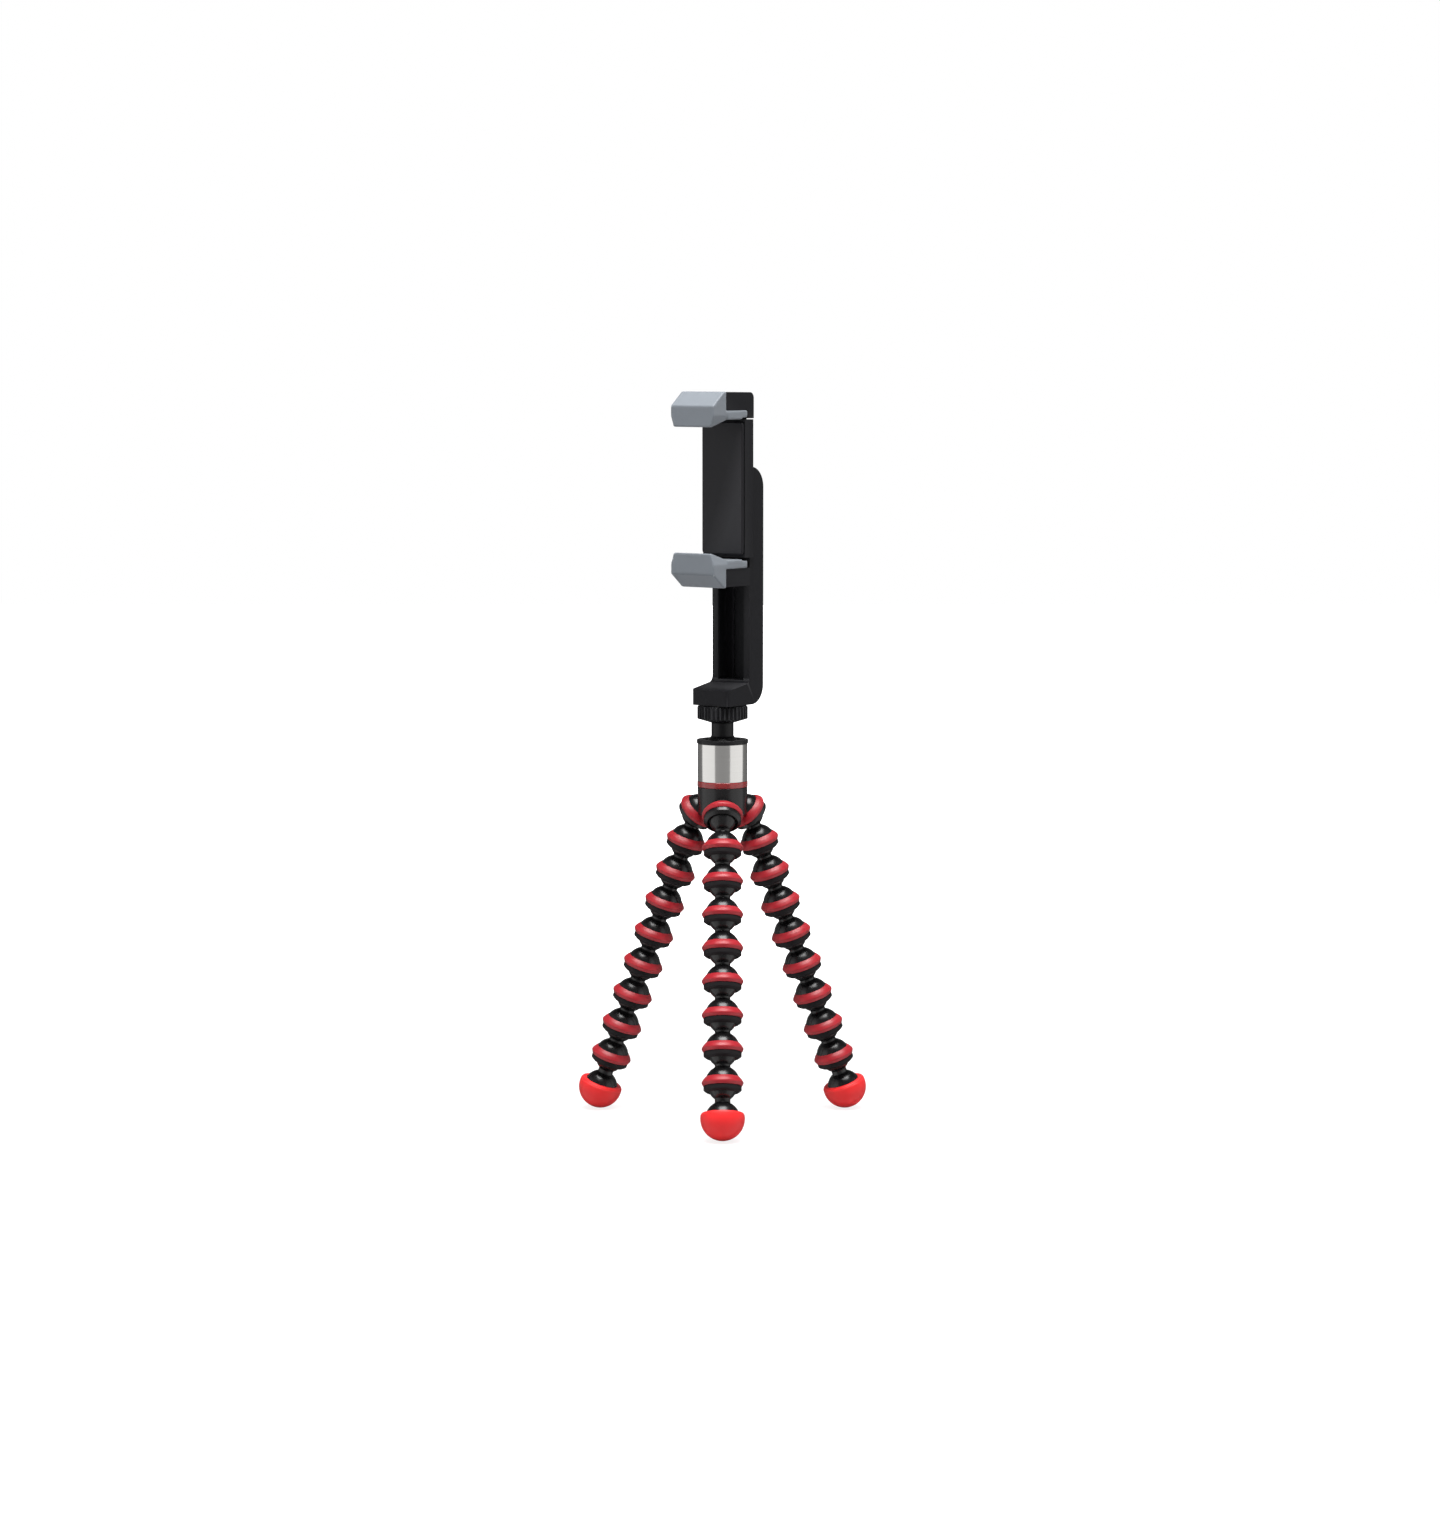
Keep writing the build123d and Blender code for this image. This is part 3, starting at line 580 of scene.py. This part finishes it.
shellModel = modelShell()
gripModel = modelGrip()
for leg in legNames:
    balls, down = legPlaces(leg)
    for number in range(1, linkLook["count"] + 1):
        middle = balls[number - 1] + down * (linkLook["pitch"] - linkLook["ballDrop"]) * mm
        place = standAlong(middle, -down)
        body, node = f"{leg}_link_{number}", f"{leg}_leg_link_{number}"
        placeCopy(shellModel, f"{leg}_leg_shell_{number}", place, body, node)
        placeCopy(gripModel, f"{leg}_leg_grip_{number}", place, body)
print("leg links placed")


# Feet

footLook = {"reach": 11.57, "radius": 8.12, "rimRise": 2.1, "rimRound": 0.8, "innerRound": 0.15,
            "innerLip": 0.5, "outerLip": 0.7, "lipTurn": 6, "shellRadius": 6.35, "gap": 0.02,
            "coreSteps": 30, "innerSteps": 14, "outerSteps": 26, "capAround": 72}


def modelFootCore():
    points, domeTurn = ballAndNeck(footLook["reach"])
    points += arcPoints(0, 0, footLook["shellRadius"], domeTurn, -90, footLook["coreSteps"])[1:]
    core = turnOnLathe("foot_core", points, linkLook["around"])
    core.data.materials.append(glossBlack)
    return core


def modelFootCap():
    look = footLook
    rise, gap = look["rimRise"], look["gap"]
    rimR = math.sqrt(look["radius"] ** 2 - rise ** 2)
    innerR = math.sqrt(look["shellRadius"] ** 2 - rise ** 2) + gap
    rimTurn = math.degrees(math.asin(rise / look["radius"])) - look["lipTurn"]
    innerTurn = math.degrees(math.asin(rise / look["shellRadius"])) - look["lipTurn"]
    points = arcPoints(0, 0, look["shellRadius"] + gap, -90, innerTurn, look["innerSteps"])
    points += roundCorners([(innerR, rise - look["innerLip"], 0), (innerR, rise, look["innerRound"]),
                            (rimR, rise, look["rimRound"]), (rimR + gap, rise - look["outerLip"], 0)])
    points += arcPoints(0, 0, look["radius"], rimTurn, -90, look["outerSteps"])
    cap = turnOnLathe("foot_cap", points, look["capAround"])
    cap.data.materials.append(footRed)
    return cap


footCoreModel = modelFootCore()
footCapModel = modelFootCap()
for leg in legNames:
    balls, down = legPlaces(leg)
    place = standAlong(balls[-1] + down * footLook["reach"] * mm, -down)
    placeCopy(footCoreModel, f"{leg}_foot_shell", place, f"{leg}_foot", f"{leg}_foot_core")
    placeCopy(footCapModel, f"{leg}_foot_rubber", place, f"{leg}_foot", f"{leg}_foot_cap")
print("feet placed")


# Hub: barrel with three sockets, their grips, accent ring, steel band and collar

hubLook = {"radius": 9.25, "bottomDrop": 0.9, "bottomRound": 0.8, "topRound": 0.15, "socketTilt": 45.0,
           "housingRadius": 8.15, "housingRise": 0.5, "around": 96, "domeStart": 0.6, "domeSteps": 12}
sleeveLook = {"inner": 8.2, "around": 128, "accentRound": 0.35, "bandRound": 0.18, "collarRound": 0.3}


def socketPlace(leg):
    # the middle of a hub socket's ring, and the turn to its direction
    ball = Vector(joints[f"{leg}_leg_joint_1"]["pos_m"])
    outward = Vector((ball.x - hubPlace.x, ball.y - hubPlace.y, 0)).normalized()
    tilt = math.radians(hubLook["socketTilt"])
    down = outward * math.sin(tilt) - Vector((0, 0, math.cos(tilt)))
    return standAlong(ball - down * linkLook["ballDrop"] * mm, -down)


def socketDome():
    # the upper side of a socket, from its pole to the groove
    dome = linkLook["domeRadius"]
    start = math.degrees(math.acos(hubLook["domeStart"] / dome))
    end = math.degrees(math.acos(linkLook["grooveRadius"] / dome))
    return [(0.0, dome)] + arcPoints(0, 0, dome, start, end, hubLook["domeSteps"])


def modelHub():
    look = hubLook
    bottom = socketPlace("front").translation.z / mm - look["bottomDrop"]
    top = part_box("accent_ring")[0].z / mm
    housingTop = top + look["housingRise"]
    points = roundCorners([
        (0, bottom, 0),
        (look["radius"], bottom, look["bottomRound"]),
        (look["radius"], top, look["topRound"]),
        (look["housingRadius"], top, 0),
        (look["housingRadius"], housingTop, 0),
        (0, housingTop, 0)])
    barrel = turnInPlace("hub_shell", points, look["around"], onHub)
    model = turnOnLathe("hub_socket", socketDome() + socketOutline()[1:], linkLook["around"])
    for leg in legNames:
        socket = copyTo(model, f"hub_socket_{leg}", socketPlace(leg))
        applyModifier(barrel, "BOOLEAN", operation="UNION", solver="EXACT", object=socket)
        discard(socket)
    discard(model)
    selectOnly(barrel)
    bpy.ops.object.shade_smooth_by_angle(angle=math.radians(shaping["latheSmooth"]))
    return barrel


def modelSleeve(node, name, soft):
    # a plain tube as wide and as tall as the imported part
    low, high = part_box(node)
    inner, outer = sleeveLook["inner"], (high.x - low.x) / 2 / mm
    points = roundCorners([(inner, low.z / mm, 0), (outer, low.z / mm, soft), (outer, high.z / mm, soft),
                           (inner, high.z / mm, 0)]) + [(inner, low.z / mm)]
    return turnInPlace(name, points, sleeveLook["around"], onHub)


hub = modelHub()
dress(hub, "hub", glossBlack)
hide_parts("hub_body")
for leg in legNames:
    replaced = "hub_socket_rings" if leg == "front" else None
    placeCopy(gripModel, f"hub_grip_{leg}", socketPlace(leg), "hub", replaced)
accent = modelSleeve("accent_ring", "accent_band", sleeveLook["accentRound"])
dress(accent, "hub", accentRed)
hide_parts("accent_ring")
band = modelSleeve("steel_band", "steel_sleeve", sleeveLook["bandRound"])
dress(band, "hub", bandSteel)
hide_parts("steel_band")
collar = softenedCopy("ball_retaining_cap", "ball_collar", sleeveLook["collarRound"])
dress(collar, "hub", headBlack)
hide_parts("ball_retaining_cap")
repaint("ball_seat", acetal)
repaint("spring_washer", springSteel)
print("hub dressed")


# Head: ball and stem, stud, knurled lock ring

headLook = {"ballRadius": 6.6, "ballSteps": 26, "stemRadius": 4.15, "stemFillet": 0.6, "filletSteps": 5,
            "topRound": 0.25, "around": 96}
lockLook = {"edge": 0.09, "segments": 2, "angle": 24}


def modelStem():
    look = headLook
    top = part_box("head_ball")[1].z / mm
    ballZ, soft, stemR = hubPlace.z / mm, look["stemFillet"], look["stemRadius"]
    filletZ = ballZ + math.sqrt((look["ballRadius"] + soft) ** 2 - (stemR + soft) ** 2)
    turn = math.degrees(math.atan2(filletZ - ballZ, stemR + soft))
    points = arcPoints(0, ballZ, look["ballRadius"], -90, turn, look["ballSteps"])
    points += arcPoints(stemR + soft, filletZ, soft, 180 + turn, 180, look["filletSteps"])[1:]
    points += roundCorners([(stemR, filletZ, 0), (stemR, top, look["topRound"]), (0, top, 0)])[1:]
    return turnInPlace("ball_and_stem", points, look["around"], onHub)


stem = modelStem()
dress(stem, "head", headBlack)
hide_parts("head_ball")
repaint("camera_stud", machinedSteel)
lockRing = softenedCopy("lock_ring", "knurled_lock_ring", lockLook["edge"], lockLook["segments"],
                        lockLook["angle"])
dress(lockRing, "lock", knurlBlack)
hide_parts("lock_ring")
print("head dressed")


# Clamp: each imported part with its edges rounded, by (name, edge, body, slot, finish)

clampPieces = {
    "bracket": ("clamp_bracket", 0.8, "clamp", "satin_black", satinBlack),
    "clamp_body": ("clamp_shell", 0.3, "clamp", "satin_black", satinBlack),
    "front_plate": ("bare_front_plate", 0.55, "clamp", "plate_black", plateBlack),
    "upper_jaw": ("upper_jaw_block", 0.45, "clamp", "satin_black", satinBlack),
    "upper_jaw_pad": ("upper_grey_pad", 0.3, "clamp", "grey_pad", padGrey),
    "lower_jaw": ("lower_jaw_block", 0.3, "sliding_jaw", "satin_black", satinBlack),
    "lower_jaw_pad": ("lower_grey_pad", 0.3, "sliding_jaw", "grey_pad", padGrey)}
padLook = {"voxel": 0.25, "easing": 0.5, "rounds": 12}


def mouldSoft(piece):
    # a fine even mesh whose edges are eased all round, as a moulded rubber piece has them
    applyModifier(piece, "REMESH", mode="VOXEL", voxel_size=padLook["voxel"] * mm)
    applyModifier(piece, "SMOOTH", factor=padLook["easing"], iterations=padLook["rounds"])
    bpy.ops.object.shade_smooth()


for node, (name, edge, body, slot, finish) in clampPieces.items():
    piece = softenedCopy(node, name, edge)
    if finish is padGrey:
        mouldSoft(piece)
    dress(piece, body, finish)
    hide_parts(node)
repaint("spring_anchor_pin", machinedSteel)
repaint("jaw_spring_pin", machinedSteel)
repaint("thread_insert", turnedBrass)
print("clamp dressed")


# Springs between the pins

springLook = {"aside": 1.7, "back": 10.25, "coilRadius": 1.05, "wire": 0.24, "wireAround": 10, "turns": 30,
              "turnSteps": 20, "eye": 1.27, "eyeAround": 32, "smooth": 40}
tiltAxis = joints["head_tilt"]["axis"]
onClamp = onHub @ Matrix.Rotation(math.atan2(tiltAxis[1], tiltAxis[0]), 4, "Z")


def middleHeight(node):
    low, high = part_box(node)
    return (low.z + high.z) / 2


def modelSpring(name, aside):
    look = springLook
    wire, eye, back = look["wire"] * mm, look["eye"] * mm, look["back"] * mm
    coilRadius, around = look["coilRadius"] * mm, look["wireAround"]
    top, bottom = middleHeight("spring_anchor_pin"), middleHeight("jaw_spring_pin")
    clearSelection()
    bpy.ops.mesh.primitive_circle_add(vertices=around, radius=wire, location=(coilRadius, 0, 0),
                                      rotation=(math.pi / 2, 0, 0))
    coil = bpy.context.object
    coil.name = f"{name}_blank"
    bpy.ops.object.transform_apply(location=True, rotation=True, scale=True)
    applyModifier(coil, "SCREW", iterations=look["turns"], steps=look["turnSteps"],
                  render_steps=look["turnSteps"], screw_offset=(top - bottom - 2 * eye) / look["turns"])
    bpy.ops.object.mode_set(mode="EDIT")
    bpy.ops.mesh.select_all(action="SELECT")
    bpy.ops.mesh.fill_holes(sides=0)
    bpy.ops.mesh.normals_make_consistent(inside=False)
    bpy.ops.object.mode_set(mode="OBJECT")
    coil.location = (aside, back, bottom + eye)
    parts = [coil]
    for height, inward in ((bottom, 1), (top, -1)):
        clearSelection()
        bpy.ops.mesh.primitive_torus_add(
            major_radius=eye, minor_radius=wire, major_segments=look["eyeAround"], minor_segments=around,
            location=(aside, back, height), rotation=(0, math.pi / 2, 0))
        parts.append(bpy.context.object)
        bpy.ops.mesh.primitive_cylinder_add(
            vertices=around, radius=wire, depth=coilRadius, rotation=(0, math.pi / 2, 0),
            location=(aside + coilRadius / 2, back, height + inward * eye))
        parts.append(bpy.context.object)
    clearSelection()
    for part in parts:
        part.select_set(True)
    bpy.context.view_layer.objects.active = coil
    bpy.ops.object.join()
    bpy.ops.object.transform_apply(location=True, rotation=True, scale=True)
    bpy.ops.object.shade_smooth_by_angle(angle=math.radians(look["smooth"]))
    spring = copyTo(coil, name, onClamp)
    discard(coil)
    spring.data.materials.append(springSteel)
    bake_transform(spring)
    return spring


leftSpring = modelSpring("jaw_spring_left", -springLook["aside"] * mm)
modelSpring("jaw_spring_right", springLook["aside"] * mm)
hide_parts("jaw_springs")
print("springs wound")


# Cross-head screws, seen from behind

screwLook = {"shankRadius": 1.0, "headRadius": 1.9, "point": 0.3, "pointRound": 0.05, "neckRound": 0.02,
             "seatRound": 0.1, "crownShare": 0.4, "around": 40, "edge": 0.05, "edgeSegments": 2,
             "edgeAngle": 40}
armScrewLook = {"aside": 5.2, "tip": 2.5, "seat": 8.9, "head": 1.2}
jawScrewLook = {"aside": 4.5, "tip": 3.1, "seat": 6.2, "head": 0.6}
crossLook = {"length": 2.3, "width": 0.5, "depth": 0.75}


def modelScrew(name, given, height, side):
    look = {**screwLook, **given}
    tip, seat, top = look["tip"], look["seat"], look["seat"] + look["head"]
    shankR, headR, point = look["shankRadius"], look["headRadius"], look["point"]
    points = roundCorners([
        (0, tip, 0), (shankR - point, tip, look["pointRound"]), (shankR, tip + point, look["pointRound"]),
        (shankR, seat, look["neckRound"]), (headR, seat, look["seatRound"]),
        (headR, top, look["head"] * look["crownShare"]), (0, top, 0)])
    screw = turnOnLathe("screw_blank", points, look["around"])
    for turn in (0, math.pi / 2):
        clearSelection()
        bpy.ops.mesh.primitive_cube_add(size=1, location=(0, 0, top * mm), rotation=(0, 0, turn))
        cutter = bpy.context.object
        cutter.scale = (crossLook["length"] * mm, crossLook["width"] * mm, crossLook["depth"] * mm)
        applyModifier(screw, "BOOLEAN", operation="DIFFERENCE", solver="EXACT", object=cutter)
        discard(cutter)
    addBevel(screw, look["edge"], look["edgeSegments"], look["edgeAngle"])
    aside = Matrix.Translation((side * look["aside"] * mm, 0, height))
    made = copyTo(screw, name, onClamp @ aside @ Matrix.Rotation(-math.pi / 2, 4, "X"))
    discard(screw)
    dress(made, "clamp", screwSteel)
    return made


for node, look in (("arm_screws", armScrewLook), ("upper_jaw_screws", jawScrewLook)):
    height = middleHeight(node)
    first = modelScrew(f"{node}_first", look, height, -1)
    modelScrew(f"{node}_second", look, height, 1)
    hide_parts(node)
print("screws turned")


# Clearing up

for model in (shellModel, gripModel, footCoreModel, footCapModel):
    discard(model)
clearSelection()
print("pieces ready")
